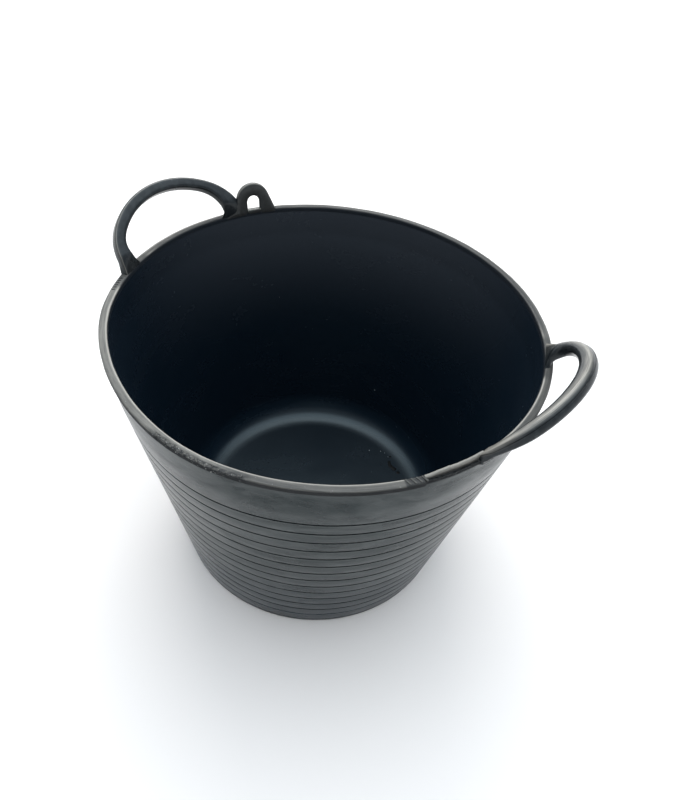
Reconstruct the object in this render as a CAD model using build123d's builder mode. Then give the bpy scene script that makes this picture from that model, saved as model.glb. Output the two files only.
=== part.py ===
import os
from math import asin, atan2, cos, degrees, radians, sin, sqrt, tan

from build123d import *

# Driving dimensions, in millimetres and degrees.
# Shell of the tub.
tub_height = 296.5
rim_diameter = 400.0
base_diameter = 309.0
wall_thickness = 4.2  # measured level
floor_thickness = 6.0
floor_corner_radius = 30.0  # inside, between the floor and the wall
heel_radius = 4.0  # outside, under the wall
foot_width = 14.0
foot_depth = 2.0

# Level grooves round the wall.
lowest_groove = 23.0
groove_pitch = 17.0
groove_radius = 0.8
plain_band = 20.0  # least height left smooth under the collar

# Collar and rim.
collar_height = 27.0
collar_draft = 2.5
rim_height = 5.0
rim_overhang = 3.0
rim_edge_radius = 1.2

# Handles: three-centred arches that lean outwards.
handle_span = 155.4  # between the leg centres at the rim
handle_reach = 59.7  # from the rim to the crown's centre, along the lean
right_handle_lean = 46.0  # from upright, as moulded
left_handle_lean = 49.0
grip_width = 12.0  # across the leg, in the plane of the arch
grip_thickness = 11.0
grip_corner_radius = 4.5
root_setback = 8.4  # from the rim's outer edge to the leg's centre
root_length = 36.0  # along the rim
root_waist = 19.0  # width of the flare at half height
root_corner_share = 0.33  # corner radius of the flare, as a share of its thickness
neck_setback = 10.0  # along the leg, from the rim
neck_length = 15.0

# Hanging eye on the rim, and what is left of the one across from it.
eye_offset = 14.64  # along the rim, from the leg beside it
eye_height = 27.0
eye_crown_radius = 18.0
eye_foot_reach = 23.0  # from the eye's middle, on the side away from the handle
eye_inset = 0.1  # from each edge of the rim's flat top
eye_lift = 2.0  # from the rim to the eye's other side, which stands on the root
eye_lean = 12.0
eye_hole_width = 15.5
eye_hole_height = 16.0
stub_height = 2.5
stub_reach = 19.0  # from the middle of the missing eye, away from the handle
stub_slope_length = 4.0
stub_lap = 3.0  # over the end of the root

# Shell profile, worked out from the sizes above.
rim_radius = rim_diameter / 2
base_radius = base_diameter / 2
collar_top = tub_height - rim_height
collar_bottom = collar_top - collar_height
collar_top_radius = rim_radius - rim_overhang
collar_bottom_radius = collar_top_radius - collar_height * tan(radians(collar_draft))
rim_inner_radius = collar_top_radius - wall_thickness
rim_middle_radius = (rim_radius + rim_inner_radius) / 2
rim_flat_width = rim_radius - rim_inner_radius - 2 * rim_edge_radius
eye_thickness = rim_flat_width - 2 * eye_inset
wall_slope = (collar_bottom_radius - base_radius) / collar_bottom
base_top = floor_thickness + floor_corner_radius
groove_count = int((collar_bottom - plain_band - lowest_groove) / groove_pitch) + 1


def wall_radius(height):
    return base_radius + wall_slope * height


with BuildPart() as shell:
    with BuildSketch(Plane.XZ):
        with BuildLine():
            FilletPolyline(
                (0, foot_depth),
                (base_radius - heel_radius - foot_width, foot_depth),
                (base_radius - heel_radius - foot_width, 0),
                (base_radius, 0),
                (collar_bottom_radius, collar_bottom),
                (collar_top_radius, collar_top),
                (rim_radius, collar_top),
                (rim_radius, tub_height),
                (rim_inner_radius, tub_height),
                (rim_inner_radius, collar_top),
                (collar_bottom_radius - wall_thickness, collar_bottom),
                (wall_radius(floor_thickness) - wall_thickness, floor_thickness),
                (0, floor_thickness),
                radius=(
                    0, 0, 0, heel_radius, 0, 0, 0, rim_edge_radius, rim_edge_radius,
                    0, 0, floor_corner_radius, 0,
                ),
                close=True,
            )
        make_face()
        groove_heights = [lowest_groove + groove_pitch * i for i in range(groove_count)]
        with Locations(*[(wall_radius(height), height) for height in groove_heights]):
            Circle(groove_radius, mode=Mode.SUBTRACT)
    revolve(axis=Axis.Z)


def shell_ring(lower, upper):
    """The slice of the shell between two heights, either of which may be left open."""
    with BuildPart() as ring:
        add(shell.part)
        if lower is not None:
            split(bisect_by=Plane.XY.offset(lower), keep=Keep.TOP)
        if upper is not None:
            split(bisect_by=Plane.XY.offset(upper), keep=Keep.BOTTOM)
    return ring.part


pieces = {
    "base": shell_ring(None, base_top),
    "wall": shell_ring(base_top, collar_bottom),
    "collar": shell_ring(collar_bottom, collar_top),
    "rim": shell_ring(collar_top, None),
}

# Arch of a handle: a crown arc between two shoulder arcs that spring square from the rim.
half_span = handle_span / 2
arch_diagonal = sqrt(half_span**2 + handle_reach**2)
shoulder_radius = arch_diagonal * (arch_diagonal - half_span + handle_reach) / (2 * half_span)
crown_radius = arch_diagonal * (arch_diagonal + half_span - handle_reach) / (2 * handle_reach)
shoulder_centre = half_span - shoulder_radius
crown_centre = handle_reach - crown_radius
shoulder_angle = degrees(atan2(-crown_centre, shoulder_centre))
neck_start_angle = degrees(neck_setback / shoulder_radius)
neck_end_angle = degrees((neck_setback + neck_length) / shoulder_radius)
chord_radius = sqrt((rim_radius - root_setback) ** 2 - half_span**2)
root_azimuth = degrees(asin(half_span / (rim_radius - root_setback)))
eye_azimuth = 180 - root_azimuth - degrees(eye_offset / rim_middle_radius)


def rim_directions(azimuth):
    """Unit vectors out from the tub's axis and along the rim at an azimuth."""
    turn = radians(azimuth)
    return Vector(cos(turn), sin(turn), 0), Vector(-sin(turn), cos(turn), 0)


def arch_plane(azimuth, lean):
    """Plane of a handle's arch: x along the rim, y up the lean, at the middle of the chord."""
    outwards, along = rim_directions(azimuth)
    origin = outwards * chord_radius + Vector(0, 0, tub_height)
    facing = outwards * cos(radians(lean)) - Vector(0, 0, sin(radians(lean)))
    return Plane(origin, x_dir=along, z_dir=facing)


def leg_plane(arch, end, angle):
    """Plane across a leg at an angle round its shoulder; end is 1 or -1 along the rim."""
    turn = radians(angle)
    origin = arch.from_local_coords(
        Vector(end * (shoulder_centre + shoulder_radius * cos(turn)), shoulder_radius * sin(turn), 0)
    )
    across = arch.x_dir * cos(turn) + arch.y_dir * (end * sin(turn))
    upwards = arch.y_dir * cos(turn) - arch.x_dir * (end * sin(turn))
    return Plane(origin, x_dir=across, z_dir=upwards)


def grip_section():
    RectangleRounded(grip_width, grip_thickness, grip_corner_radius)


def make_grip(arch):
    with BuildPart() as grip:
        with BuildLine(arch):
            shoulder_sweep = shoulder_angle - neck_end_angle
            CenterArc((shoulder_centre, 0), shoulder_radius, neck_end_angle, shoulder_sweep)
            CenterArc((0, crown_centre), crown_radius, shoulder_angle, 180 - 2 * shoulder_angle)
            CenterArc((-shoulder_centre, 0), shoulder_radius, 180 - shoulder_angle, shoulder_sweep)
        with BuildSketch(leg_plane(arch, 1, neck_end_angle)):
            grip_section()
        sweep()
    return grip.part


def make_neck(arch, end):
    bend_axis = Axis(arch.from_local_coords(Vector(end * shoulder_centre, 0, 0)), arch.z_dir * end)
    with BuildPart() as neck:
        with BuildSketch(leg_plane(arch, end, neck_start_angle)):
            grip_section()
        revolve(axis=bend_axis, revolution_arc=neck_end_angle - neck_start_angle)
    return neck.part


def make_root(arch, azimuth, end):
    """Flared foot of a leg: long and narrow on the rim, drawn in to the leg's own section."""
    outwards, along = rim_directions(azimuth + end * root_azimuth)
    foot = Plane(
        outwards * rim_middle_radius + Vector(0, 0, tub_height), x_dir=along, z_dir=(0, 0, 1)
    )
    top = leg_plane(arch, end, neck_start_angle)
    waist = Plane(
        (foot.origin + top.origin) / 2, x_dir=foot.x_dir + top.x_dir, z_dir=foot.z_dir + top.z_dir
    )
    waist_thickness = (rim_flat_width + grip_thickness) / 2
    with BuildPart() as root:
        with BuildSketch(foot):
            RectangleRounded(root_length, rim_flat_width, rim_flat_width * root_corner_share)
        with BuildSketch(waist):
            RectangleRounded(root_waist, waist_thickness, waist_thickness * root_corner_share)
        with BuildSketch(top):
            grip_section()
        loft()
    return root.part


for side, azimuth, lean in (("right", 0, right_handle_lean), ("left", 180, left_handle_lean)):
    arch = arch_plane(azimuth, lean)
    pieces[f"{side}_handle_grip"] = make_grip(arch)
    for end in (1, -1):
        place = "rear" if end * cos(radians(azimuth)) > 0 else "front"
        pieces[f"{side}_handle_{place}_neck"] = make_neck(arch, end)
        pieces[f"{side}_handle_{place}_root"] = make_root(arch, azimuth, end)


def rim_standing_plane(azimuth):
    """Upright plane along the rim: x along the rim, y up from its top face."""
    outwards, along = rim_directions(azimuth)
    return Plane(
        outwards * rim_middle_radius + Vector(0, 0, tub_height), x_dir=along, z_dir=outwards
    )


def trim_to_rim_curve(height):
    """Keep what lies in a leaning ring on the rim, as thick as the eye."""
    lean_shift = height * tan(radians(eye_lean))
    with BuildSketch(Plane.XZ) as ring_section:
        with Locations((rim_middle_radius, tub_height)):
            Polygon(
                (-eye_thickness / 2, 0),
                (eye_thickness / 2, 0),
                (eye_thickness / 2 + lean_shift, height),
                (-eye_thickness / 2 + lean_shift, height),
                align=None,
            )
    revolve(ring_section.sketch, axis=Axis.Z, mode=Mode.INTERSECT)


with BuildPart() as hanging_eye:
    with BuildSketch(rim_standing_plane(eye_azimuth)):
        with Locations((0, eye_height - eye_crown_radius)):
            Circle(eye_crown_radius)
        with BuildLine():
            Line((-eye_foot_reach, 0), (eye_crown_radius, 0))
        make_hull()
        hole_radius = eye_hole_width / 2
        hole_side = eye_hole_height - hole_radius
        with Locations((0, hole_side)):
            Circle(hole_radius, mode=Mode.SUBTRACT)
        Rectangle(eye_hole_width, hole_side, align=(Align.CENTER, Align.MIN), mode=Mode.SUBTRACT)
        Rectangle(eye_crown_radius, eye_lift, align=Align.MIN, mode=Mode.SUBTRACT)
    extrude(amount=eye_height, both=True)
    trim_to_rim_curve(eye_height)
    add(pieces["left_handle_rear_root"], mode=Mode.SUBTRACT)
    add(pieces["left_handle_rear_neck"], mode=Mode.SUBTRACT)
pieces["hanging_eye"] = hanging_eye.part

with BuildPart() as eye_stub:
    stub_end = eye_offset - root_length / 2 + stub_lap
    with BuildSketch(rim_standing_plane(eye_azimuth - 180)):
        Polygon(
            (-stub_reach, 0),
            (stub_end, 0),
            (stub_end, stub_height),
            (stub_slope_length - stub_reach, stub_height),
            align=None,
        )
    extrude(amount=eye_height, both=True)
    trim_to_rim_curve(stub_height)
    add(pieces["right_handle_front_root"], mode=Mode.SUBTRACT)
pieces["eye_stub"] = eye_stub.part

os.makedirs("parts", exist_ok=True)
for name, piece in pieces.items():
    piece.label = name
    export_step(piece, f"parts/{name}.step")
    print(f"{name}: {len(piece.solids())} solid, {piece.volume / 1000:.2f} cm3")
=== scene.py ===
from math import acos, asin, atan2, copysign, cos, degrees, exp, hypot, pi, radians, sin, sqrt, tan

import bmesh
import bpy
from mathutils import Matrix, Vector, noise


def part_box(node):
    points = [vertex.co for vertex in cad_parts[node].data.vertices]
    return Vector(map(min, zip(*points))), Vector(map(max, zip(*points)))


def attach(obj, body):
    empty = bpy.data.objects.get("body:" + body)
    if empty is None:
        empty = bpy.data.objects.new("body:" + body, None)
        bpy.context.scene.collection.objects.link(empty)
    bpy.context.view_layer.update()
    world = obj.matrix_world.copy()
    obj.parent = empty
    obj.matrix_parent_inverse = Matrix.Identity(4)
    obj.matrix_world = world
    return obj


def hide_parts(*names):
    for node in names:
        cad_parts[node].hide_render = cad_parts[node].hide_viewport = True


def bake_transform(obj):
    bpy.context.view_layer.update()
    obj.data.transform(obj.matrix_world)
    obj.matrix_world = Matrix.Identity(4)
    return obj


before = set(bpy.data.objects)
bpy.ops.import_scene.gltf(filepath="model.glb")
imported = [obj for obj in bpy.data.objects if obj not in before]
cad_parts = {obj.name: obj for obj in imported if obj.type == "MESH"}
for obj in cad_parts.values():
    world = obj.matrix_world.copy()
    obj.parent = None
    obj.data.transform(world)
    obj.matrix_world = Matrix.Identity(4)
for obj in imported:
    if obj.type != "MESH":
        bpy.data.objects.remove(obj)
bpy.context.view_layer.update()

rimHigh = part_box("rim")[1]
collarLow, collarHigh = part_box("collar")
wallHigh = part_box("wall")[1]
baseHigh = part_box("base")[1]
up = Vector((0, 0, 1))
scene = bpy.context.scene

# sizes shared by all the shell's pieces, in metres
shell = {
    "wallThickness": 0.0042, "grooveFirst": 0.023, "groovePitch": 0.017, "grooveCount": 14,
    "grooveHalf": 0.001, "grooveDepth": 0.0014, "grooveSoft": 0.3, "spinSteps": 360,
    "facingIn": -0.3, "facingUp": 0.5,
}
wallSlope = (wallHigh.x - baseHigh.x) / (collarLow.z - baseHigh.z)
wallThick = shell["wallThickness"]
lipInside = collarHigh.x - wallThick
lipMiddle = (rimHigh.x + lipInside) / 2


def ease(share):
    share = min(max(share, 0.0), 1.0)
    return share * share * (3 - 2 * share)


def riseFrom(value, start, width):  # 0 up to the start, then eased to 1
    return ease((value - start) / width)


def fallFrom(value, start, width):  # 0 down to the start, then eased to 1
    return ease((start - value) / width)


def bellAt(value, middle, width):
    return exp(-((value - middle) / width) ** 2)


def wallOut(height):
    return baseHigh.x + wallSlope * (height - baseHigh.z)


def outwardsAt(azimuth):
    return Vector((cos(azimuth), sin(azimuth), 0))


def alongAt(azimuth):
    return Vector((-sin(azimuth), cos(azimuth), 0))


def turnBetween(azimuth, middle):
    return (degrees(azimuth) - middle + 180) % 360 - 180


def windowAt(azimuth, stretch):  # 1 between two azimuths in degrees, eased to 0 beyond them
    start, end, soft = stretch
    return 1 - riseFrom(abs(turnBetween(azimuth, (start + end) / 2)), (end - start) / 2, soft)


# the rim isn't quite round: pushed out or in at an azimuth, over a width in degrees, by a depth
rimSway = {
    "pushes": ((-85, 20, 0.0022), (-140, 14, 0.0009), (-38, 26, -0.0011)), "still": 0.05, "fade": 0.03,
}


def swayAt(azimuth, height):
    push = 0.0
    for middle, width, depth in rimSway["pushes"]:
        push += depth * bellAt(turnBetween(azimuth, middle), 0, width)
    return push * riseFrom(height, rimSway["still"], rimHigh.z - rimSway["still"])


def swayShell(bm):
    for vert in bm.verts:
        azimuth = atan2(vert.co.y, vert.co.x)
        fade = 1 - riseFrom(vert.co.z, rimHigh.z, rimSway["fade"])
        vert.co += outwardsAt(azimuth) * swayAt(azimuth, vert.co.z) * fade


# node helpers
def addNode(tree, kind, values, **settings):
    node = tree.nodes.new("ShaderNode" + kind)
    for name, value in settings.items():
        setattr(node, name, value)
    for key, value in values.items():
        feed(value, node.inputs[key])
    return node.outputs


def feed(value, socket):
    if isinstance(value, Wire):
        socket.id_data.links.new(value.socket, socket)
    else:
        socket.default_value = value


class Wire:  # a value in a node tree: + - * and the methods lead it through new nodes
    def __init__(self, socket):
        self.socket = socket

    def lead(self, kind, values, output=0, **settings):
        return Wire(addNode(self.socket.id_data, kind, values, **settings)[output])

    def math(self, operation, other=0.5):
        return self.lead("Math", {0: self, 1: other}, operation=operation)

    def __add__(self, other):
        return self.math("ADD", other)

    def __mul__(self, other):
        return self.math("MULTIPLY", other)

    def __sub__(self, other):
        return self.math("SUBTRACT", other)

    def __rsub__(self, other):
        return self.lead("Math", {0: other, 1: self}, operation="SUBTRACT")

    def clamped(self):
        self.socket.node.use_clamp = True
        return self

    def ramp(self, low, high, start=0.0, end=1.0, curve="SMOOTHSTEP"):
        values = dict(enumerate((self, low, high, start, end)))
        return self.lead("MapRange", values, interpolation_type=curve)

    def roughen(self, look, full=1.0):  # from smooth to rough as the mask fills
        return self.ramp(0.0, full, *look["rough"], curve="LINEAR")

    def mix(self, first, second):
        return self.lead("Mix", {0: self, 6: first, 7: second}, 2, data_type="RGBA")

    def grain(self, scale, detail=3.0, rough=0.5, warp=0.0):
        values = {"Vector": self, "Scale": scale, "Detail": detail, "Roughness": rough, "Distortion": warp}
        return self.lead("TexNoise", values)

    def drawn(self, stretch, grain):  # grain drawn out along an axis
        return self.lead("Mapping", {"Vector": self, "Scale": stretch}).grain(*grain)

    def axis(self, name):
        return self.lead("SeparateXYZ", {0: self}, name)

    def vector(self, operation, other=(0, 0, 0), output="Value"):
        return self.lead("VectorMath", {0: self, 1: other}, output, operation=operation)

    def through(self, group, **amounts):
        outputs = addNode(self.socket.id_data, "Group", {"Place": self} | amounts, node_tree=group)
        return {socket.name: Wire(socket) for socket in outputs}


def makeGroup(name, build, size, **amounts):  # takes a place and a few amounts
    tree = bpy.data.node_groups.new(name, "ShaderNodeTree")
    tree.interface.new_socket(name="Place", in_out="INPUT", socket_type="NodeSocketVector")
    for title, value in amounts.items():
        socket = tree.interface.new_socket(name=title, in_out="INPUT", socket_type="NodeSocketFloat")
        socket.default_value = value
    given, put = tree.nodes.new("NodeGroupInput").outputs, tree.nodes.new("NodeGroupOutput").inputs
    made = build(size, *(Wire(given[title]) for title in ("Place", *amounts)))
    for title, wire in made.items():
        tree.interface.new_socket(name=title, in_out="OUTPUT", socket_type="NodeSocketFloat")
        feed(wire, put[title])
    return tree


# broad cloudy dust with a finer broken edge; a grain is given as scale, detail, roughness and warp
dustMarks = {
    "clouds": (11.0, 4.0, 0.55, 0.6), "grit": (170.0, 3.0, 0.6), "gritShare": 0.35,
    "level": 1.05, "coverShare": 0.7, "soft": 0.22,
}


def drawDust(size, place, cover):
    clouds = place.grain(*size["clouds"]) + place.grain(*size["grit"]) * size["gritShare"]
    above = clouds - (size["level"] - cover * size["coverShare"])
    return {"Mask": above.ramp(-size["soft"], size["soft"])}


# swirls, wisps and streaks from the mould, drawn out level: stretch, grain and edge
flowSizes = {
    "Mask": ((7.0, 7.0, 22.0), (1.0, 3.0, 0.5, 2.4), (0.36, 0.66)),
    "Wisps": ((24.0, 24.0, 80.0), (1.0, 4.0, 0.6, 1.8), (0.38, 0.64)),
    "Streaks": ((9.0, 9.0, 430.0), (1.0, 2.0, 0.5), (0.4, 0.72)),
}


def drawFlow(size, place):
    return {title: place.drawn(stretch, grain).ramp(*edge) for title, (stretch, grain, edge) in size.items()}


# fine drag lines that run round the rim
dragMarks = {"acrossRim": 620.0, "roundRim": 30.0, "grain": (1.0, 4.0, 0.65), "edge": (0.34, 0.66)}


def drawDrag(size, place):
    radius = place.vector("MULTIPLY", (1, 1, 0), "Vector").vector("LENGTH")
    sideways, forwards = place.axis("X") * size["roundRim"], place.axis("Y") * size["roundRim"]
    drawn = radius.lead("CombineXYZ", {0: radius * size["acrossRim"], 1: sideways, 2: forwards})
    return {"Mask": drawn.grain(*size["grain"]).ramp(*size["edge"])}


# short pale scratches and flecks
nickMarks = {
    "ways": ((1500, 600, 1000), (600, 1500, 1100)), "grain": (1.0, 2.0, 0.5, 0.4),
    "level": 0.84, "amountShare": 0.2, "soft": 0.08,
}


def drawNicks(size, place, amount):
    first, second = (place.drawn(way, size["grain"]) for way in size["ways"])
    above = first.math("MAXIMUM", second) - (size["level"] - amount * size["amountShare"])
    return {"Mask": above.ramp(0.0, size["soft"])}


# fine moulded skin, as a height
skinMarks = {"fine": (750.0, 3.0, 0.6), "fineShare": 0.5, "broad": (70.0, 2.0, 0.5)}


def drawSkin(size, place):
    return {"Height": place.grain(*size["fine"]) * size["fineShare"] + place.grain(*size["broad"])}


# dark line in each groove, dirt with painted shade, in shares of its half width, and the pale lip under it,
# wear with a painted highlight, in metres
grooveMarks = {"line": (1.3, 0.75), "lipFrom": (-0.0046, -0.0016), "lipTo": (-0.0009, -0.0013)}


def drawGrooves(size, place):
    height, pitch = place.axis("Z"), shell["groovePitch"]
    start = shell["grooveFirst"] - pitch / 2
    share = (height - start).math("DIVIDE", pitch).math("FRACT")
    offset = (share - 0.5) * pitch  # from the middle of the groove
    line = offset.math("ABSOLUTE").ramp(*(shell["grooveHalf"] * edge for edge in size["line"]))
    lip = offset.ramp(*size["lipFrom"]) * offset.ramp(*size["lipTo"])
    within = height.math("LESS_THAN", start + shell["grooveCount"] * pitch)
    return {"Line": line * within, "Lip": lip * within}


dustFilm = makeGroup("dustFilm", drawDust, dustMarks, Cover=0.5)
flowMarks = makeGroup("flowMarks", drawFlow, flowSizes)
ringStreaks = makeGroup("ringStreaks", drawDrag, dragMarks)
paleNicks = makeGroup("paleNicks", drawNicks, nickMarks, Amount=0.5)
skinGrain = makeGroup("skinGrain", drawSkin, skinMarks)
grooveLines = makeGroup("grooveLines", drawGrooves, grooveMarks)
print("node groups made:", len(bpy.data.node_groups))


def objectPlace(tree):
    return Wire(addNode(tree, "TexCoord", {})["Object"])


def attributeOf(tree, name, output="Fac"):
    return Wire(addNode(tree, "Attribute", {}, attribute_name=name)[output])


def startMaterial(name):
    material = bpy.data.materials.new(name)
    material.use_nodes = True
    return material, material.node_tree


def shaderOf(material):
    return material.node_tree.nodes["Principled BSDF"].inputs


def finishMaterial(material, look, colour, rough, height=None):
    shader = shaderOf(material)
    shader["IOR"].default_value = look["ior"]
    shader["Specular Tint"].default_value = look["sheenTint"]
    feed(colour, shader["Base Color"])
    feed(rough, shader["Roughness"])
    if height:
        strength, distance = look["bump"]
        bump = height.lead("Bump", {"Strength": strength, "Distance": distance, "Height": height})
        feed(bump, shader["Normal"])
    return material


# satin black under a thin grey film, which gives way towards the foot to a darker, bluer painted reflection
outsideLook = {
    "ior": 1.3, "sheenTint": (0.8, 0.95, 1.0, 1), "rough": (0.25, 0.37), "roughCover": 0.8,
    "black": (0.003, 0.0075, 0.0085, 1), "dust": (0.027, 0.035, 0.035, 1),
    "dustCover": 0.5, "filmShare": 0.42, "streakShare": 0.08,
    "foot": (0.0004, 0.009, 0.019, 1), "footRise": (0.0, 0.17, 0.35, 1.0),
    "lip": (0.07, 0.077, 0.074, 1), "lipShare": 0.4, "groove": (0.001, 0.0016, 0.0026, 1),
    "grooveRough": 0.45, "shaded": 0.004, "shadedShare": 0.85, "swirlGloss": 0.55, "wispGloss": 0.45,
    "glossEdge": (0.1, 0.9), "gloss": (0.0, 0.36), "glossRough": 0.24, "swirlHeight": 0.7,
    "bump": (0.3, 0.0006),
}


def makeOutside(look):
    material, tree = startMaterial("outsideSatin")
    place = objectPlace(tree)
    height = place.axis("Z")
    film = place.through(dustFilm, Cover=look["dustCover"])["Mask"]
    flow = place.through(flowMarks)
    lines = place.through(grooveLines)
    cover = ((film + flow["Mask"]) * look["filmShare"]).clamped()
    cover = (cover + flow["Streaks"] * look["streakShare"]).clamped()
    colour = cover.mix(look["black"], look["dust"])
    # painted reflection: towards the foot the colour turns darker and bluer, as the sky seen in the wall
    colour = height.ramp(*look["footRise"]).mix(look["foot"], colour)
    # the pale lip under each groove is wear with a painted highlight
    colour = (lines["Lip"] * look["lipShare"]).mix(colour, look["lip"])
    shaded = height.ramp(collarHigh.z - look["shaded"], collarHigh.z)  # painted shade under the rim
    # painted shade: the groove lines, dirt with painted shade, and the band under the rim darken the colour
    dark = lines["Line"].math("MAXIMUM", shaded * look["shadedShare"])
    marks = flow["Mask"] * look["swirlGloss"] + flow["Wisps"] * look["wispGloss"]
    gloss = marks.ramp(*look["glossEdge"], *look["gloss"], curve="LINEAR")
    feed(gloss * (1.0 - dark), shaderOf(material)["Coat Weight"])
    shaderOf(material)["Coat Roughness"].default_value = look["glossRough"]
    rough = (cover.roughen(look, look["roughCover"]) + dark * look["grooveRough"]).clamped()
    skin = place.through(skinGrain)["Height"] + flow["Mask"] * look["swirlHeight"]
    return finishMaterial(material, look, dark.mix(colour, look["groove"]), rough, skin)


# smooth blue-black, greyer with painted light at the mouth on the far side, with faint level rings
insideLook = {
    "ior": 1.46, "sheenTint": (0.8, 0.95, 1.0, 1), "rough": (0.24, 0.3), "roughHaze": 0.12,
    "deep": (0.005, 0.0115, 0.02, 1), "mouth": (0.05, 0.058, 0.07, 1), "mouthRise": (0.13, 0.29),
    "paintedLightWay": (-0.53, 0.85, 0), "paintedLightReach": (0.0, 0.19, 0.08, 1.0),
    "floor": (0.0018, 0.0052, 0.01, 1), "floorTop": (0.0062, 0.011), "haze": (0.026, 0.032, 0.04, 1),
    "dustCover": 0.35, "swirlHaze": 0.06, "filmHaze": 0.06, "ringHeight": 0.3, "bump": (0.03, 0.0003),
}


def makeInside(look):
    material, tree = startMaterial("insideBlack")
    place = objectPlace(tree)
    height = place.axis("Z")
    flow = place.through(flowMarks)
    film = place.through(dustFilm, Cover=look["dustCover"])["Mask"]
    # painted light: the mask called dusty marks the far side of the inner wall, greyed towards the mouth
    # where light falls in
    dusty = place.vector("DOT_PRODUCT", look["paintedLightWay"]).ramp(*look["paintedLightReach"])
    colour = (height.ramp(*look["mouthRise"]) * dusty).mix(look["deep"], look["mouth"])
    colour = height.ramp(*look["floorTop"]).mix(look["floor"], colour)
    haze = flow["Mask"] * look["swirlHaze"] + film * look["filmHaze"]
    rough = haze.roughen(look, look["roughHaze"])
    skin = place.through(skinGrain)["Height"] + flow["Streaks"] * look["ringHeight"]
    return finishMaterial(material, look, haze.mix(colour, look["haze"]), rough, skin)


# grey worn top with drag lines, a pale inner edge that is wear with a painted highlight, dark under the lip
rimLook = {
    "ior": 1.38, "sheenTint": (1.0, 1.0, 1.0, 1), "rough": (0.34, 0.55), "dullRough": 0.3, "dustCover": 0.6,
    "dark": (0.0045, 0.006, 0.0075, 1), "worn": (0.185, 0.175, 0.156, 1), "filmWear": (0.0, 1.0, 0.7, 1.0),
    "streak": (0.076, 0.074, 0.068, 1), "streakShare": 0.8, "inside": (0.018, 0.023, 0.03, 1),
    "edge": (0.46, 0.43, 0.38, 1), "edgeShare": 0.85, "fleck": (0.6, 0.6, 0.58, 1),
    "crumbs": (650.0, 4.0, 0.65), "crumbEdge": (0.42, 0.56, 1.0, 0.1),
    "crumbHeight": 4.0, "dragHeight": 0.6, "bump": (0.4, 0.0005),
}


def makeRimWorn(look):
    material, tree = startMaterial("rimWorn")
    place = objectPlace(tree)
    film = place.through(dustFilm, Cover=look["dustCover"])["Mask"]
    drag = place.through(ringStreaks)["Mask"]
    nicks = place.through(paleNicks, Amount=attributeOf(tree, "scuffed"))["Mask"]
    crumbs = attributeOf(tree, "torn") * place.grain(*look["crumbs"])
    top = (attributeOf(tree, "worn") * film.ramp(*look["filmWear"])).clamped()
    colour = (drag * look["streakShare"]).mix(look["worn"], look["streak"])
    colour = (top * crumbs.ramp(*look["crumbEdge"])).mix(look["dark"], colour)
    colour = attributeOf(tree, "inner").mix(colour, look["inside"])
    # pale edge lines: wear with a painted highlight on the inner edge, and a painted highlight on the outer
    # edge at the back
    colour = (attributeOf(tree, "edge") * look["edgeShare"]).mix(colour, look["edge"])
    rough = (film.roughen(look) + attributeOf(tree, "dull") * look["dullRough"]).clamped()
    skin = place.through(skinGrain)["Height"] + crumbs * look["crumbHeight"] + drag * look["dragHeight"]
    return finishMaterial(material, look, nicks.mix(colour, look["fleck"]), rough, skin)


# satin bar with pale wear and painted highlights drawn out along it and a dark parting line
handleLook = {
    "ior": 1.33, "sheenTint": (0.94, 0.98, 1.0, 1), "rough": (0.2, 0.36), "dustCover": 0.4,
    "black": (0.011, 0.0135, 0.0155, 1), "dust": (0.04, 0.046, 0.05, 1), "filmShare": 0.45,
    "patches": (90.0, 2.0, 0.5, 0.8), "patchEdge": (0.44, 0.62), "patchShare": 0.25,
    "pale": (0.5, 0.465, 0.41, 1), "filmWear": (0.0, 1.0, 0.72, 1.0),
    "drawnWay": (1500, 34, 1), "drawn": (1.0, 3.0, 0.6), "drawnEdge": (0.34, 0.62, 0.5, 1.0),
    "fleck": (0.34, 0.33, 0.31, 1), "fleckShare": 0.6,
    "seam": (0.002, 0.003, 0.004, 1), "seamShare": 0.85, "bump": (0.25, 0.0004),
}


def makeHandleSatin(look):
    material, tree = startMaterial("handleSatin")
    place = attributeOf(tree, "restPlace", "Vector")
    film = place.through(dustFilm, Cover=look["dustCover"])["Mask"]
    nicks = place.through(paleNicks, Amount=attributeOf(tree, "scuffed"))["Mask"]
    patches = place.grain(*look["patches"]).ramp(*look["patchEdge"])
    drawn = attributeOf(tree, "barPlace", "Vector").drawn(look["drawnWay"], look["drawn"])
    paleWearAndHighlight = attributeOf(tree, "pale") * film.ramp(*look["filmWear"]) * drawn.ramp(*look["drawnEdge"])
    cover = film * look["filmShare"] + patches * look["patchShare"]
    colour = paleWearAndHighlight.mix(cover.mix(look["black"], look["dust"]), look["pale"])
    colour = (nicks * look["fleckShare"]).mix(colour, look["fleck"])
    colour = (attributeOf(tree, "seam") * look["seamShare"]).mix(colour, look["seam"])
    skin = place.through(skinGrain)["Height"] + nicks
    return finishMaterial(material, look, colour, film.roughen(look), skin)


# dark wet beads and pale crumbs of grit
dropLook = {
    "ior": 1.33, "sheenTint": (1.0, 1.0, 1.0, 1), "rough": (0.55, 0.6), "wet": (0.0003, 0.0005, 0.0008, 1),
    "grit": (0.42, 0.44, 0.45, 1), "speckle": (1400.0, 2.0), "speckleEdge": (0.2, 0.6, 0.5, 1.0),
}


def makeDrop(look):
    material, tree = startMaterial("floorGrit")
    speckle = objectPlace(tree).grain(*look["speckle"])
    share = attributeOf(tree, "pale") * speckle.ramp(*look["speckleEdge"])
    return finishMaterial(material, look, share.mix(look["wet"], look["grit"]), share.roughen(look))


outsideSatin, insideBlack = makeOutside(outsideLook), makeInside(insideLook)
rimWorn, handleSatin, floorGrit = makeRimWorn(rimLook), makeHandleSatin(handleLook), makeDrop(dropLook)
print("materials made:", len(bpy.data.materials))


# modelling helpers
def placeObject(name, data):
    placed = bpy.data.objects.new(name, data)
    scene.collection.objects.link(placed)
    return placed


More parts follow.
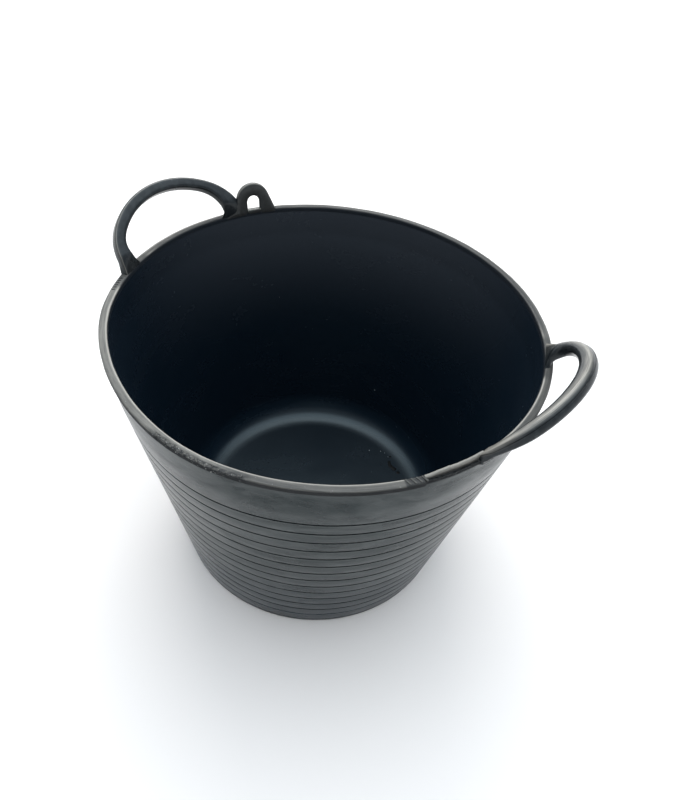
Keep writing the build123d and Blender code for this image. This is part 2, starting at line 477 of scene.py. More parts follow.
def finishPiece(name, bm, materials, sharp=38):
    mesh = bpy.data.meshes.new(name)
    bm.to_mesh(mesh)
    bm.free()
    for material in materials:
        mesh.materials.append(material)
    mesh.shade_smooth()
    mesh.set_sharp_from_angle(angle=radians(sharp))
    return placeObject(name, mesh)


def softenEdges(bm, geom, offset, segments, affect):
    bmesh.ops.bevel(
        bm, geom=geom, offset=offset, offset_type="OFFSET", segments=segments, profile=0.5, affect=affect,
        material=-1,
    )


def drawProfile(bm, corners, closed, softSteps=5):  # a corner is a radius, a height and its rounding
    verts = [bm.verts.new((radius, 0, height)) for radius, height, _ in corners]
    ends = verts[1:] + verts[:1] if closed else verts[1:]
    for pair in zip(verts, ends):
        bm.edges.new(pair)
    for vert, (_, _, rounding) in zip(verts, corners):
        if rounding:
            softenEdges(bm, [vert], rounding, softSteps, "VERTICES")


def spinProfile(bm, steps, sectors=12, weld=5e-6):  # one sector is spun, then copied round
    bmesh.ops.spin(
        bm, geom=bm.verts[:] + bm.edges[:], axis=up, cent=(0, 0, 0),
        angle=2 * pi / sectors, steps=steps // sectors,
    )
    sector = bm.verts[:] + bm.edges[:] + bm.faces[:]
    for i in range(1, sectors):
        copied = bmesh.ops.duplicate(bm, geom=sector)["geom"]
        moved = [item for item in copied if isinstance(item, bmesh.types.BMVert)]
        turned = Matrix.Rotation(2 * pi * i / sectors, 3, "Z")
        bmesh.ops.rotate(bm, verts=moved, cent=(0, 0, 0), matrix=turned)
    bmesh.ops.remove_doubles(bm, verts=bm.verts[:], dist=weld)
    bmesh.ops.recalc_face_normals(bm, faces=bm.faces[:])


def paintInside(bm):  # second material on what faces the tub's axis or the floor's top
    for face in bm.faces:
        middle = face.calc_center_median()
        facing = face.normal.dot(Vector((middle.x, middle.y, 0)).normalized())
        onFloor = face.normal.z > shell["facingUp"] and middle.z < baseHigh.z
        face.material_index = int(facing < shell["facingIn"] or onFloor)


def grooveCorners(height):
    half = shell["grooveHalf"]
    soft = half * shell["grooveSoft"]
    return [
        (wallOut(height - half), height - half, soft),
        (wallOut(height) - shell["grooveDepth"], height, soft),
        (wallOut(height + half), height + half, soft),
    ]


def groovesWithin(low, high):
    heights = [shell["grooveFirst"] + shell["groovePitch"] * i for i in range(shell["grooveCount"])]
    return [corner for height in heights if low < height < high for corner in grooveCorners(height)]


# floor, foot ring and the lowest stretch of the wall
basePiece = {
    "floor": 0.006, "floorCorner": 0.029, "heel": 0.0036,
    "footWidth": 0.014, "footDepth": 0.002, "footEdge": 0.0006,
}


def makeBase(size):
    bm = bmesh.new()
    heelRadius = wallOut(0)
    footInner = heelRadius - size["heel"] - size["footWidth"]
    drawProfile(bm, [
        (0, size["floor"], 0),
        (wallOut(size["floor"]) - wallThick, size["floor"], size["floorCorner"]),
        (baseHigh.x - wallThick, baseHigh.z, 0),
        (baseHigh.x, baseHigh.z, 0),
        *reversed(groovesWithin(0, baseHigh.z)),
        (heelRadius, 0, size["heel"]),
        (footInner, 0, size["footEdge"]),
        (footInner, size["footDepth"], size["footEdge"]),
        (0, size["footDepth"], 0),
    ], closed=False, softSteps=8)
    spinProfile(bm, shell["spinSteps"])
    paintInside(bm)
    piece = finishPiece("tubBase", bm, [outsideSatin, insideBlack])
    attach(piece, "tub")
    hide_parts("base")


# grooved wall and the smooth collar above its soft crease
wallPiece = {"crease": 0.004}


def makeWall(size):
    bm = bmesh.new()
    drawProfile(bm, [
        (baseHigh.x - wallThick, baseHigh.z, 0),
        (baseHigh.x, baseHigh.z, 0),
        *groovesWithin(baseHigh.z, collarLow.z),
        (wallHigh.x, collarLow.z, size["crease"]),
        (collarHigh.x, collarHigh.z, 0),
        (lipInside, collarHigh.z, 0),
        (wallHigh.x - wallThick, collarLow.z, size["crease"]),
    ], closed=True)
    spinProfile(bm, shell["spinSteps"])
    swayShell(bm)
    paintInside(bm)
    piece = finishPiece("tubWall", bm, [outsideSatin, insideBlack])
    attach(piece, "tub")
    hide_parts("wall", "collar")


# rim with a worn top, a torn stretch at the front and a cut ledge beside the trimmed eye
# a stretch is a start, an end and a soft margin in degrees; a ramp is a start and a width in metres
rimPiece = {
    "underEdge": 0.0007, "outerEdge": 0.0011, "innerEdge": 0.0018, "step": 0.001, "spinSteps": 1080,
    "topRamp": (0.0003, 0.0009), "insideDeep": (0.0006, 0.001), "insideWide": (0.0006, 0.0008),
    # painted shade: the top keeps less wear at the back, and there a painted highlight runs along the outer
    # edge
    "shadedBack": [(38, 186, 14)], "paleBack": [(160, 202, 6)], "hatched": [(-39.6, -34.9, 0.5)],
    "plainEdge": [(-165, -151, 3), (142, 166, 5), (15, 29, 3)],
    "wearLost": (0.72, 0.3, 1.0, 0.5, 0.85),  # on the back with painted shade, and on the torn, cut, plain and hatched stretches
    "darkTop": ((-31, 14, 5, 0.55), (-74, -41, 6, 0.4)),
    "edgeLine": (0.0009, 0.0007), "outerHighlight": (-0.003, 0.0016), "outerShare": (0.25, 0.6),
    "scuffed": [(-125, -94, 10), (-72, -40, 14)], "scuffShare": 0.5, "tornScuff": 0.8,
    "torn": [(-94, -73, 3)], "tornRamp": (0.0028, 0.0015), "tornDepth": 0.0014, "tornFoot": (0.003, 0.0015),
    "crumbs": ((480, 1.0), (1100, 0.6)), "bite": (0.35, 0.65), "biteIn": 0.6,
    "ledge": [(-34.6, -22, 1.2)], "ledgeRamp": (0.003, 0.001), "ledgeDepth": 0.0022, "ledgeRough": 0.3,
    "ledgeCut": 0.0017, "cutRamp": (0.0045, 0.002),
    "ripple": 0.0002, "rippleScale": 55, "rippleUp": 0.6,
}
rimStretches = ("shadedBack", "paleBack", "hatched", "plainEdge", "scuffed", "torn", "ledge")


def makeRim(size):
    bm = bmesh.new()
    drawProfile(bm, [
        (lipInside, collarHigh.z, 0),
        (rimHigh.x, collarHigh.z, size["underEdge"]),
        (rimHigh.x, rimHigh.z, size["outerEdge"]),
        (lipInside, rimHigh.z, size["innerEdge"]),
    ], closed=True, softSteps=4)
    for edge in bm.edges[:]:
        cuts = int(edge.calc_length() / size["step"])
        if cuts:
            bmesh.ops.subdivide_edges(bm, edges=[edge], cuts=cuts)
    spinProfile(bm, size["spinSteps"])
    names = ("worn", "edge", "torn", "scuffed", "inner", "dull")
    worn, edgeLine, torn, scuffed, inner, dull = (bm.verts.layers.float.new(name) for name in names)
    for vert in bm.verts:
        azimuth = atan2(vert.co.y, vert.co.x)
        backShade, pale, hatched, plain, rubbed, rough, low = (
            max(windowAt(azimuth, stretch) for stretch in size[name]) for name in rimStretches
        )
        radius = hypot(vert.co.x, vert.co.y)
        depth = rimHigh.z - vert.co.z
        fromInside = radius - lipInside
        ragged = rough * riseFrom(fromInside, *size["tornRamp"])
        ledge = low * riseFrom(fromInside, *size["ledgeRamp"])
        darkened = max(share * windowAt(azimuth, stretch) for *stretch, share in size["darkTop"])
        onInside = riseFrom(depth, *size["insideDeep"]) * (1 - riseFrom(fromInside, *size["insideWide"]))
        top = (1 - riseFrom(depth, *size["topRamp"])) * (1 - onInside)
        wear = top
        for share, lost in zip((backShade, ragged, ledge, plain, hatched), size["wearLost"]):
            wear *= 1 - lost * share
        vert[worn] = wear * (1 - darkened)
        # pale inner edge line: wear with a painted highlight
        line = bellAt(fromInside, *size["edgeLine"]) * (1 - backShade) * (1 - plain) * (1 - hatched)
        least, most = size["outerShare"]
        # painted highlight along the outer top edge at the back, strongest in the pale stretch
        outerHighlight = riseFrom(radius - rimHigh.x, *size["outerHighlight"]) * backShade * (least + most * pale)
        vert[edgeLine] = (line + outerHighlight) * top
        vert[torn] = min(1.0, ragged + ledge)
        vert[scuffed] = max(size["tornScuff"] * ragged, size["scuffShare"] * rubbed * top)
        vert[inner] = onInside
        vert[dull] = (1 - top) * (1 - onInside)
        crumble = sum(share * noise.noise(vert.co * scale) for scale, share in size["crumbs"])
        wave = noise.noise(vert.co * size["rippleScale"]) * size["ripple"]
        least, most = size["bite"]
        bite = (least + most * crumble) * size["tornDepth"] * (1 - riseFrom(depth, *size["tornFoot"]))
        cut = size["ledgeCut"] * ledge * riseFrom(fromInside, *size["cutRamp"])
        sunk = bite * ragged + size["ledgeDepth"] * ledge * (1 + size["ledgeRough"] * crumble)
        vert.co += outwardsAt(azimuth) * (wave - bite * size["biteIn"] * (ragged + ledge) - cut)
        vert.co.z += wave * size["rippleUp"] - sunk * top
    swayShell(bm)
    piece = finishPiece("tubRim", bm, [rimWorn], sharp=60)
    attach(piece, "tub")
    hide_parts("rim")


makeBase(basePiece)
makeWall(wallPiece)
makeRim(rimPiece)
print("shell modelled")


# swept bars: a closed loop of points at each station, bridged to the next
def turnsRound(count):
    return [2 * pi * i / count for i in range(count)]


def ringLoop(bm, places):
    made = bmesh.ops.create_circle(bm, cap_ends=False, radius=0.01, segments=len(places))["verts"]
    for vert, place in zip(made, places):
        vert.co = place
    return made


def bridgeRings(bm, rings):
    for pair in zip(rings, rings[1:]):
        sides = ((vert, ring) for ring in pair for vert in ring)
        edges = {edge for vert, ring in sides for edge in vert.link_edges if edge.other_vert(vert) in ring}
        bmesh.ops.bridge_loops(bm, edges=list(edges))
    for ring in (rings[0], rings[-1]):
        bmesh.ops.contextual_create(bm, geom=ring)
    bmesh.ops.recalc_face_normals(bm, faces=bm.faces[:])


def barLayers(bm):
    layers = {name: bm.verts.layers.float_vector.new(name) for name in ("restPlace", "barPlace")}
    return layers | {name: bm.verts.layers.float.new(name) for name in ("pale", "seam", "scuffed")}


# dust on a bar's crest, on a dusty face and a trace where it's steep: a start and a width each
barDust = {
    "upFrom": (0.25, 0.3), "upTo": (0.8, 0.25), "face": (0.3, 0.5),
    "steepTo": (0.55, 0.3), "steepFrom": (0.3, 0.3), "steepShare": 0.03, "scuff": (0.25, 0.3),
}


def paintBar(bm, layers, seams, face, crest, dusty=0.0):
    bm.normal_update()
    leastScuff, moreScuff = barDust["scuff"]
    for vert in bm.verts:
        faceOn = vert.normal.dot(face)
        upper = riseFrom(vert.normal.z, *barDust["upFrom"]) * fallFrom(faceOn, *barDust["upTo"])
        steep = fallFrom(abs(vert.normal.z), *barDust["steepTo"]) * riseFrom(faceOn, *barDust["steepFrom"])
        pale = max(crest * upper, dusty * riseFrom(faceOn, *barDust["face"]), barDust["steepShare"] * steep)
        vert[layers["restPlace"]] = vert.co
        vert[layers["pale"]] = pale
        vert[layers["seam"]] = 1.0 if vert in seams else 0.0
        vert[layers["scuffed"]] = leastScuff + moreScuff * pale


def sectionPoint(turn, wide, thick, square):  # wide and square give a value for either side
    across, through = cos(turn), sin(turn)
    power = 2 / square[through <= 0]
    return (
        copysign(abs(across) ** power, across) * wide[across <= 0],
        copysign(abs(through) ** power, through) * thick,
    )


# handles: a three-centred arch on two roots that run out into the rim
# a root, at the arch's far (1) or near end (-1), spreads out and in by a width, over a run, to a power
# a root's bare above 0 paints pale wear near it and below 0 painted shade; its glint paints a highlight
handlePiece = {
    "span": 0.1554, "setback": 0.0084, "ringPoints": 48, "bunch": 0.18, "archSteps": 110, "rootSteps": 16,
    "rootEnd": 0.015, "rootPull": 0.9, "footSink": 0.004, "footHalf": 0.0036, "footProud": 0.0002,
    "footTuck": 0.0007, "footSquare": 7.0, "squareRun": 0.012, "headingStep": 0.0005,
    "bowPeak": 17.6, "bowFade": 6, "webLean": 0.21, "webSoft": 0.001, "webEnd": 0.003,
    "partingStep": 0.0004, "partingGap": 0.012, "bareRings": 38, "glint": (1.0, 0.35),
    "blend": (0.006, 0.032),
    "sides": {
        "right": {
            "azimuth": 0.0, "lean": 46, "width": 0.0124, "thick": 0.0118, "reach": 0.0606,
            "swell": 0.0011, "skew": 0.006, "legSquare": (2.5, 2.7), "partingTurn": 0.22,
            "crest": 0.0, "worn": (1.16, 0.4, 0.95),
            "roots": {
                1: {"out": (0.008, 0.014, 2.4), "in": (0.016, 0.026, 1.9), "shift": 0.0, "bow": 0.002,
                    "thicken": 0.014, "bare": -1.0, "glint": 1.0},
                -1: {"out": (0.001, 0.01, 2.0), "in": (-0.0038, 0.085, 1.0), "shift": 0.014, "bow": 0.005,
                     "thicken": 0.045, "bare": 1.3, "glint": 0.0},
            },
        },
        "left": {
            "azimuth": 180.0, "lean": 49, "width": 0.011, "thick": 0.01, "reach": 0.0597,
            "swell": 0.0, "skew": 0.0, "legSquare": (4.8, 3.4), "partingTurn": 0.67,
            "crest": 0.3, "worn": (0.82, 0.22, 0.62),
            "roots": {
                1: {"out": (0.0005, 0.01, 2.0), "in": (0.013, 0.034, 2.4), "shift": 0.003, "bow": 0.0,
                    "thicken": 0.014, "bare": 0.0, "glint": 0.0},
                -1: {"out": (-0.003, 0.02, 2.0), "in": (0.016, 0.052, 1.8), "shift": 0.002, "bow": 0.0,
                     "thicken": 0.014, "bare": -0.85, "glint": 0.0},
            },
        },
    },
}


def archSizes(span, reach):  # three arcs: where each starts, its centre, rise, radius and first turn
    half = span / 2
    slant = hypot(half, reach)
    shoulder = slant * (slant - half + reach) / (2 * half)
    crown = slant * (slant + half - reach) / (2 * reach)
    bend = atan2(crown - reach, half - shoulder)
    shoulderRun = shoulder * bend
    run = 2 * shoulderRun + crown * (pi - 2 * bend)
    arcs = (
        (0.0, shoulder - half, 0.0, shoulder, pi),
        (shoulderRun, 0.0, reach - crown, crown, pi - bend),
        (run - shoulderRun, half - shoulder, 0.0, shoulder, bend),
    )
    return {"half": half, "reach": reach, "run": run, "arcs": arcs}


def archAt(arch, distance):  # place along the rim and up the lean, from the end at -half
    start, centre, rise, radius, turn = [arc for arc in arch["arcs"] if arc[0] <= distance][-1]
    turn -= (distance - start) / radius
    return centre + radius * cos(turn), rise + radius * sin(turn)


def flushInside(spot, size):  # kept out of the tub's mouth, level with its inner wall
    least = lipInside - size["footProud"] + max(spot.z - rimHigh.z, 0) * size["webLean"]
    reach = hypot(spot.x, spot.y)
    over = reach - least
    if over >= size["webEnd"]:
        return spot
    push = (hypot(over, size["webSoft"]) - over) / 2  # eased, so no crease shows
    return Vector((spot.x * (1 + push / reach), spot.y * (1 + push / reach), spot.z))


def makeHandle(side, size):
    own = size["sides"][side]
    arch = archSizes(size["span"], own["reach"])
    archRun, rootEnd, sink = arch["run"], size["rootEnd"], size["footSink"]
    azimuth, lean = radians(own["azimuth"]), radians(own["lean"])
    outwards, along = outwardsAt(azimuth), alongAt(azimuth)
    rise = outwards * sin(lean) + up * cos(lean)  # up the handle's lean
    face = up * sin(lean) - outwards * cos(lean)  # towards the tub's middle
    legRadius = rimHigh.x - size["setback"]
    origin = outwards * sqrt(legRadius ** 2 - arch["half"] ** 2) + up * rimHigh.z
    parting = own["partingTurn"]
    bunched = [turn - size["bunch"] * sin(4 * turn) for turn in turnsRound(size["ringPoints"])]
    turns = sorted(bunched + [parting, parting + size["partingGap"]])
    seamAt = turns.index(parting)

    def spotAt(distance):
        sideways, height = archAt(arch, distance)
        share = max(height, 0) / arch["reach"]
        end = 1 if sideways > 0 else -1
        root = own["roots"][end]
        sideways += own["skew"] * share - end * root["shift"] * (1 - share) ** 2
        bow = root["bow"] * size["bowPeak"] * share * (1 - share) ** size["bowFade"]
        return origin + along * sideways + rise * height - face * bow

    def legAt(distance):
        step = size["headingStep"]
        heading = (spotAt(distance + step) - spotAt(distance - step)).normalized()
        return spotAt(distance), heading.cross(face).normalized(), heading

    def ringAt(centre, out, inwards, travelled, end, settle):  # settle is 1 in the rim and 0 on the leg
        root = own["roots"][end]
        swell = own["swell"] * sin(pi * min(max(travelled, 0) / archRun, 1)) ** 2
        wide = []
        for width, run, power in (root["out"], root["in"]):
            spread = width * max(0.0, 1 - max(travelled, 0) / run) ** power
            wide.append(own["width"] / 2 + spread + swell)
        thick = size["footHalf"] + (own["thick"] / 2 - size["footHalf"]) * ease(travelled / root["thicken"])
        footed = 1 - ease(travelled / size["squareRun"])
        square = [leg + (size["footSquare"] - leg) * footed for leg in own["legSquare"]]
        away = Vector((centre.x, centre.y, 0)).normalized()
        places = []
        for turn in turns:
            across, through = sectionPoint(turn, wide, thick, square)
            if parting < turn < pi / 2:  # the mould's upper half is a little narrower
                across *= 1 - size["partingStep"] / wide[0]
            curl = across * across / (2 * lipMiddle) * settle
            places.append(flushInside(centre + out * across + inwards * through - away * curl, size))
        return places

    def rootRings(end):
        legCentre, legOut, heading = legAt(rootEnd if end < 0 else archRun - rootEnd)
        turnedTo = azimuth + end * asin((arch["half"] - own["roots"][end]["shift"]) / legRadius)
        rootOut, rootAlong = outwardsAt(turnedTo), alongAt(turnedTo)
        footRadius = lipInside + size["footHalf"] - size["footProud"]
        foot = rootOut * footRadius + up * (rimHigh.z - sink)
        reach = (legCentre - foot).length
        pull = reach * size["rootPull"]
        places = []
        for i in range(size["rootSteps"]):
            share = i / size["rootSteps"]
            rest = 1 - share
            centre = (
                foot * (rest * rest * (1 + 2 * share)) + legCentre * (share * share * (3 - 2 * share))
                + up * (pull * share * rest * rest) + heading * (end * pull * share * share * rest)
            )
            tucked = 1 - ease(reach * share / sink)  # the root's end hides in the rim
            centre += rootOut * size["footTuck"] * tucked
            out = (rootAlong * end).lerp(legOut, ease(share)).normalized()
            inwards = (-rootOut).lerp(face, ease(share))
            inwards = (inwards - out * inwards.dot(out)).normalized()
            places.append(ringAt(centre, out, inwards, reach * share - sink, end, 1 - ease(share)))
        return places, reach - sink

    rings, firstReach = rootRings(-1)
    lastRings, lastReach = rootRings(1)
    for i in range(size["archSteps"] + 1):
        distance = rootEnd + (archRun - 2 * rootEnd) * i / size["archSteps"]
        centre, out, _ = legAt(distance)
        fromFirst = distance - rootEnd + firstReach
        fromLast = archRun - distance - rootEnd + lastReach
        end, travelled = (-1, fromFirst) if fromFirst < fromLast else (1, fromLast)
        rings.append(ringAt(centre, out, face, travelled, end, 0.0))
    rings += reversed(lastRings)
    bm = bmesh.new()
    layers = barLayers(bm)
    loops = [ringLoop(bm, places) for places in rings]
    bridgeRings(bm, loops)
    swayShell(bm)
    seams = {vert for loop in loops for vert in loop[seamAt:seamAt + 2]}
    paintBar(bm, layers, seams, face, own["crest"])
    pale, barPlace = layers["pale"], layers["barPlace"]
    # pale wear in a band round each bar; on the right handle this band is also a painted highlight
    middle, soft, rub = own["worn"]
    for i, loop in enumerate(loops):
        root = own["roots"][-1 if i < len(loops) / 2 else 1]
        near = ease(1 - min(i, len(loops) - 1 - i) / size["bareRings"])
        bare = min(max(root["bare"], 0.0) * near, 1.0)
        shade = max(-root["bare"], 0.0) * near  # painted shade: near such a root the pale is taken off, so it stays black
        for turn, vert in zip(turns, loop):
            vert[barPlace] = (turn * own["width"] / 2, i * archRun / size["archSteps"], 0)
            rubbed = max(vert[pale], rub * bellAt(turn, middle, soft)) * (1 - shade)
            # painted highlight: a glint painted pale along the upper side of the right handle's far root
            shine = root["glint"] * near * bellAt(turn, *size["glint"])
            vert[pale] = max(rubbed, shine, bare * max(0.0, sin(turn)))
    piece = finishPiece(f"{side}Handle", bm, [handleSatin], sharp=50)
    start, end = size["blend"]
    origin + rise * start
    origin + rise * end
    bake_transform(piece)
    nodes = [f"{side}_handle_{place}_{part}" for place in ("front", "rear") for part in ("neck", "root")]
    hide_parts(f"{side}_handle_grip", *nodes)


for side in handlePiece["sides"]:
    makeHandle(side, handlePiece)
print("handles modelled")


def onRim(azimuth, along, height, radius):  # a place above the rim, bent along its curve
    return outwardsAt(azimuth + along / lipMiddle) * radius + up * (rimHigh.z + height)


# hanging eye: a band round a D-shaped hole, with a wing into the handle's root
eyePiece = {
    "azimuth": 151.8, "lean": 12, "holeHalf": 0.0069, "holeRise": 0.0088, "crownRadius": 0.0188,
    "crownRise": 0.0096, "thick": 0.0062, "square": (3.4, 3.4), "footReach": 0.0262, "footSink": 0.003,
    "proud": 0.0005, "wingReach": 0.0365, "wingPower": 1.5, "wingLean": 38,
    "twistAlong": (0.017, 0.013), "twistUp": (0.004, 0.008),
    "sillHeight": 0.0018, "sillSteps": 10, "sillWide": 1.1,
    "legSteps": 14, "crownSteps": 30, "ringPoints": 32, "dusty": 0.09, "crest": 0.45,
}


def makeEye(size):
    azimuth = radians(size["azimuth"])
    turns = turnsRound(size["ringPoints"])
    hole, crown, sink = size["holeHalf"], size["crownRadius"], size["footSink"]
    foot = Vector((-size["footReach"], -sink))
    away = foot - Vector((0, size["crownRise"]))
    touch = atan2(away.y, away.x) + 2 * pi
    touch -= acos(crown / away.length)  # where the slant from the foot leaves the crown
    section = [sectionPoint(turn, (1, 1), size["thick"] / 2, size["square"]) for turn in turns]

    def holeAt(turn):
        return Vector((hole * cos(turn), size["holeRise"] + hole * sin(turn)))

    def crownAt(turn):
        return Vector((crown * cos(turn), size["crownRise"] + crown * sin(turn)))

    def placeAt(along, height, through, lean=0.0):
        radius = lipInside + size["thick"] / 2 - size["proud"] + max(height, 0) * tan(lean) - through
        return onRim(azimuth, along, height, radius)

    stations = []  # hole's edge and outer edge of the band, along the rim and up
    straight = size["holeRise"] + sink
    for i in range(size["legSteps"]):
        share = i / size["legSteps"]
        climbed = (straight + hole * (pi - touch)) * share
        inner = Vector((-hole, climbed - sink))
        if climbed >= straight:
            inner = holeAt(pi - (climbed - straight) / hole)
        stations.append((inner, foot.lerp(crownAt(touch), share)))
    for i in range(size["crownSteps"] + 1):
        turn = touch * (1 - i / size["crownSteps"])
        stations.append((holeAt(turn), crownAt(turn)))
    for i in range(size["legSteps"]):
        share = (i + 1) / size["legSteps"]
        wing = crown + (size["wingReach"] - crown) * share ** size["wingPower"]
        height = size["crownRise"] - (size["crownRise"] + sink) * share
        stations.append((Vector((hole, size["holeRise"] - straight * share)), Vector((wing, height))))
    bm = bmesh.new()
    layers = barLayers(bm)
    band = []
    for inner, outer in stations:
        places = []
        for across, through in section:
            along, height = (inner + outer) / 2 + (outer - inner) / 2 * across
            twist = riseFrom(along, *size["twistAlong"]) * (1 - riseFrom(height, *size["twistUp"]))
            lean = radians(size["lean"] + size["wingLean"] * twist)
            places.append(placeAt(along, height, through, lean))
        band.append(ringLoop(bm, places))
    bridgeRings(bm, band)
    sill = []
    middle, half = (size["sillHeight"] - sink) / 2, (size["sillHeight"] + sink) / 2
    for i in range(size["sillSteps"] + 1):  # low sill under the hole
        along = hole * size["sillWide"] * (2 * i / size["sillSteps"] - 1)
        places = [placeAt(along, middle + half * across, through) for across, through in section]
        sill.append(ringLoop(bm, places))
    bridgeRings(bm, sill)
    paintBar(bm, layers, set(), -outwardsAt(azimuth), size["crest"], size["dusty"])
    piece = finishPiece("hangingEye", bm, [handleSatin], sharp=50)
    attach(piece, "tub")
    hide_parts("hanging_eye")


makeEye(eyePiece)
print("eye modelled")

# trimmed remains of a second eye: a low ridge inside the rim; its runs and nub are shares of its length
stubPiece = {
    "azimuth": -28.6, "from": -0.0225, "to": 0.0295, "half": 0.0017, "square": (2.3, 2.3), "sink": 0.003,
    "least": 0.0002, "height": 0.0026, "startRun": 0.3, "endRise": 0.0006, "endRun": (0.72, 0.28),
    "nub": 0.0009, "nubAt": (0.38, 0.025), "wave": 0.0004, "waveScale": 300,
    "steps": 56, "ringPoints": 24, "worn": (0.4, 0.6), "pale": 0.45,
}


def makeStub(size):
    azimuth = radians(size["azimuth"])
    turns = turnsRound(size["ringPoints"])
    half, sink = size["half"], size["sink"]
    leastWorn, moreWorn = size["worn"]
    bm = bmesh.new()
    worn, edgeLine = bm.verts.layers.float.new("worn"), bm.verts.layers.float.new("edge")
    loops = []
    for i in range(size["steps"] + 1):
        share = i / size["steps"]
        along = size["from"] + (size["to"] - size["from"]) * share
        crest = size["height"] * ease(share / size["startRun"])
        crest += size["endRise"] * riseFrom(share, *size["endRun"]) + size["least"]
        crest += noise.noise(Vector((along * size["waveScale"], 0, 0))) * size["wave"]
        crest += size["nub"] * bellAt(share, *size["nubAt"])
        places = []
        for turn in turns:
            across, through = sectionPoint(turn, (half, half), (crest + sink) / 2, size["square"])
            places.append(onRim(azimuth, along, (crest - sink) / 2 + through, lipInside + half + across))
        loops.append(ringLoop(bm, places))
        for vert, turn in zip(loops[-1], turns):
            above = max(0.0, sin(turn))
            vert[worn] = leastWorn + moreWorn * above
            vert[edgeLine] = size["pale"] * above ** 2
    bridgeRings(bm, loops)
    swayShell(bm)
    piece = finishPiece("trimmedEye", bm, [rimWorn], sharp=50)
    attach(piece, "tub")
    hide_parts("eye_stub")


# short moulded ridges across the rim, beside one root and past the trimmed eye
hatchPiece = {
    "soft": 0.00025, "softSteps": 2,
    "places": (
        {"from": -153.6, "to": -148.4, "count": 6, "slant": 24, "inner": 0.0028, "outer": 0.0058,
         "size": (0.0012, 0.0008), "worn": 0.0},
        {"from": -39.2, "to": -35.4, "count": 4, "slant": 28, "inner": 0.0006, "outer": 0.0064,
         "size": (0.0015, 0.001), "worn": 0.4},
    ),
}


def makeHatch(size):
    bm = bmesh.new()
    worn = bm.verts.layers.float.new("worn")
    for group in size["places"]:
        radius = lipInside + (group["inner"] + group["outer"]) / 2
        shape = Matrix.Diagonal((group["outer"] - group["inner"], *group["size"], 1))
        for i in range(group["count"]):
            azimuth = radians(group["from"] + (group["to"] - group["from"]) * i / (group["count"] - 1))
            moved = Matrix.Translation(outwardsAt(azimuth) * radius + up * rimHigh.z)
            turned = Matrix.Rotation(azimuth + radians(group["slant"]), 4, "Z")
            made = bmesh.ops.create_cube(bm, size=1, matrix=moved @ turned @ shape)["verts"]
            for vert in made:
                vert[worn] = group["worn"]
            edges = {edge for vert in made for edge in vert.link_edges}
            softenEdges(bm, list(edges), size["soft"], size["softSteps"], "EDGES")
    swayShell(bm)
    piece = finishPiece("rimHatch", bm, [rimWorn])
    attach(piece, "tub")


makeStub(stubPiece)
makeHatch(hatchPiece)
print("trimmed eye and hatching modelled")

# a few drops and crumbs left in the tub: place, radius and how pale
dropPiece = {
    "drops": (
        ((0.0110, 0.1091, 0.006), 0.0007, 1.0), ((0.0241, 0.1174, 0.006), 0.0007, 1.0),
        ((0.0299, 0.1180, 0.006), 0.0005, 0.7), ((0.0371, 0.1153, 0.006), 0.0006, 0.6),
        ((0.0395, 0.1172, 0.006), 0.0017, 0.0), ((0.0366, 0.0987, 0.006), 0.0009, 0.0),
        ((0.0430, 0.1085, 0.006), 0.0022, 0.0), ((0.0475, 0.1040, 0.006), 0.0028, 0.0),
        ((0.0450, 0.1062, 0.006), 0.0022, 0.0), ((0.0543, 0.1026, 0.006), 0.0030, 0.0),
        ((0.0509, 0.1032, 0.006), 0.0026, 0.0), ((0.0615, 0.1005, 0.006), 0.0024, 0.0),
        ((-0.0201, 0.1590, 0.0632), 0.0007, 1.0), ((-0.1450, 0.1056, 0.1856), 0.0005, 0.7),
    ),
    "flat": 0.3, "subdivisions": 3,
}


def makeDrops(size):
    bm = bmesh.new()
    pale = bm.verts.layers.float.new("pale")
    for place, radius, paleness in size["drops"]:
        shape = Matrix.Translation(place) @ Matrix.Diagonal((1, 1, size["flat"], 1))
        made = bmesh.ops.create_icosphere(bm, subdivisions=size["subdivisions"], radius=radius, matrix=shape)
        for vert in made["verts"]:
            vert[pale] = paleness
    piece = finishPiece("tubGrit", bm, [floorGrit])
    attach(piece, "tub")


makeDrops(dropPiece)
print("drops placed")

# floor, light and camera
floorLook = {
    "half": 12.0, "pale": (0.95, 0.895, 0.86, 1), "shade": (0.93, 0.875, 0.84, 1), "clouds": (3.0, 2.0),
    "rough": 0.9, "shine": 0.1,
}


def makeFloor(look):
    material, tree = startMaterial("paleFloor")
    shader = shaderOf(material)
    shader["Roughness"].default_value = look["rough"]
    shader["Specular IOR Level"].default_value = look["shine"]
    clouds = objectPlace(tree).grain(*look["clouds"])
    feed(clouds.mix(look["pale"], look["shade"]), shader["Base Color"])
    bm = bmesh.new()
    bmesh.ops.create_grid(bm, x_segments=1, y_segments=1, size=look["half"])
    finishPiece("studioFloor", bm, [material])


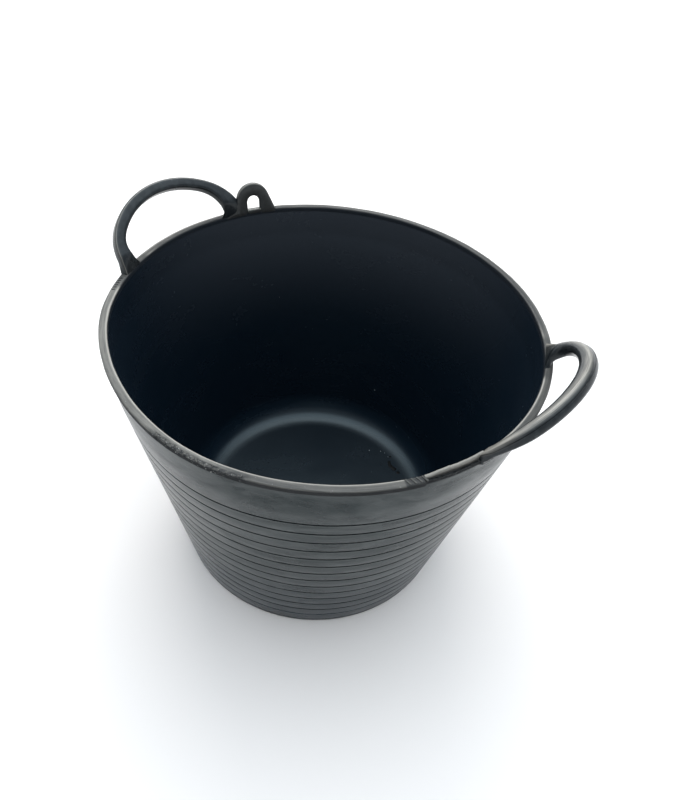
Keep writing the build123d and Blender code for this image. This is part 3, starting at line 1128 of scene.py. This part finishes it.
# soft light overhead and a pale backdrop; a lamp is its name, place, target, extent, power and tint
studioLight = {
    "dim": (0.42, 0.45, 0.48, 1), "backdrop": (1.2, 1.22, 1.25, 1), "backdropTop": (0.32, 0.1),
    "overhead": (2.15, 2.4, 2.6, 1), "overheadWay": (-0.137, 0.22, 0.966), "overheadEdge": (0.69, 0.82),
    "lamps": (
        ("softBox", (-0.3, 0.5, 2.2), (0.0, 0.0, 0.1), (1.4, 1.4), 4, (1.0, 1.0, 1.0)),
        ("window", (-0.88, 0.96, 1.21), (0.1, 0.0, 0.3), (1.3, 0.4), 11, (1.0, 0.97, 0.93)),
    ),
}


def makeLight(look):
    world = bpy.data.worlds.new("softStudio")
    world.use_nodes = True
    tree = world.node_tree
    way = objectPlace(tree)
    overhead = way.vector("DOT_PRODUCT", look["overheadWay"]).ramp(*look["overheadEdge"])
    colour = way.axis("Z").ramp(*look["backdropTop"]).mix(look["dim"], look["backdrop"])
    colour = overhead.mix(colour, look["overhead"])
    seen = Wire(addNode(tree, "LightPath", {})["Is Camera Ray"])  # a plain backdrop in every view
    feed(seen.mix(colour, look["backdrop"]), tree.nodes["Background"].inputs["Color"])
    scene.world = world
    for name, place, target, extent, power, tint in look["lamps"]:
        lamp = bpy.data.lights.new(name, "AREA")
        lamp.shape, lamp.energy, lamp.color = "RECTANGLE", power, tint
        lamp.size, lamp.size_y = extent
        holder = placeObject(name, lamp)
        holder.location = place
        holder.rotation_mode = "QUATERNION"
        holder.rotation_quaternion = (Vector(target) - Vector(place)).to_track_quat("-Z", "Y")
    scene.view_settings.view_transform = "Standard"


photoCamera = {
    "place": (0.2328, -0.3747, 0.6298), "right": (0.8231, 0.5599, 0.0947), "up": (-0.4552, 0.5509, 0.6995),
    "focalPixels": 602.34, "centrePixel": (347.735, 399.459), "image": (700, 800), "sensor": 36.0,
}


def makeCamera(look):
    data = bpy.data.cameras.new("photoCamera")
    width, height = look["image"]
    longest = max(look["image"])
    data.sensor_width = look["sensor"]
    data.lens = look["focalPixels"] * look["sensor"] / longest
    data.shift_x = (width / 2 - look["centrePixel"][0]) / longest
    data.shift_y = (look["centrePixel"][1] - height / 2) / longest
    right, above = Vector(look["right"]).normalized(), Vector(look["up"]).normalized()
    turned = Matrix((right, above, right.cross(above))).transposed().to_4x4()
    scene.camera = placeObject("photoCamera", data)
    scene.camera.matrix_world = Matrix.Translation(look["place"]) @ turned


makeFloor(floorLook)
makeLight(studioLight)
makeCamera(photoCamera)
print("floor, light and camera set")
